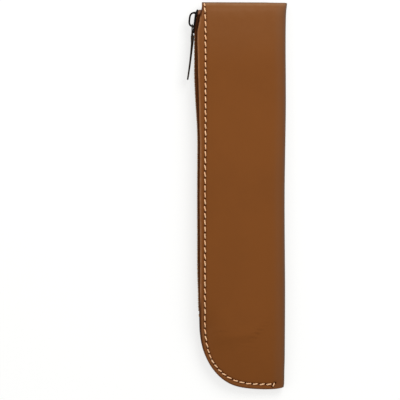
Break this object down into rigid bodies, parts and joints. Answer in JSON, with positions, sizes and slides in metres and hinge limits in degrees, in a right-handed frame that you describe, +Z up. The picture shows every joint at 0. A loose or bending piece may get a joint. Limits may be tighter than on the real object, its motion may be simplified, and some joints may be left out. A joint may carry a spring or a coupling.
{
  "type": "zippered pencil case",
  "caption": "Slim soft leather pencil case, folded from one panel, with topstitched edges, a metal zip along one long side and a hinged zip pull.",
  "frame": {"origin": "the middle of the flat back that the case lies on", "axes": "+Z up out of the front leaf, +Y along the case to its closed top end where the zip is shut, +X to the fold; the zip is at -X"},
  "size_m": [0.0529, 0.205, 0.0127],
  "materials": {
    "leather": "smooth tan leather with a soft sheen",
    "thread": "waxed cream thread",
    "zip_tape": "dark brown woven tape",
    "zip_teeth": "antique brass",
    "slider_metal": "black gunmetal, satin"
  },
  "bodies": {
    "case": {"leather_panel": "leather", "front_needle_thread": "thread", "back_needle_thread": "thread", "front_bobbin_thread": "thread", "back_bobbin_thread": "thread", "top_seam_thread": "thread", "front_zip_tape": "zip_tape", "back_zip_tape": "zip_tape", "front_teeth_row": "zip_teeth", "back_teeth_row": "zip_teeth", "front_top_stop": "zip_teeth", "back_top_stop": "zip_teeth", "bottom_stop": "zip_teeth"},
    "slider": {"slider_body": "slider_metal", "slider_bridge": "slider_metal"},
    "pull": {"pull_tab": "slider_metal"}
  },
  "joints": [
    {"name": "zip_slide", "type": "slide", "parent": "case", "child": "slider", "axis": [0.0039, -1, 0], "range_m": [0, 0.1475], "deforming": ["front_teeth_row", "back_teeth_row"]},
    {"name": "pull_hinge", "type": "hinge", "parent": "slider", "child": "pull", "pos_m": [-0.02667, 0.09036, 0.0063], "axis": [0, 0, -1], "range_deg": [-3, 120]}
  ]
}
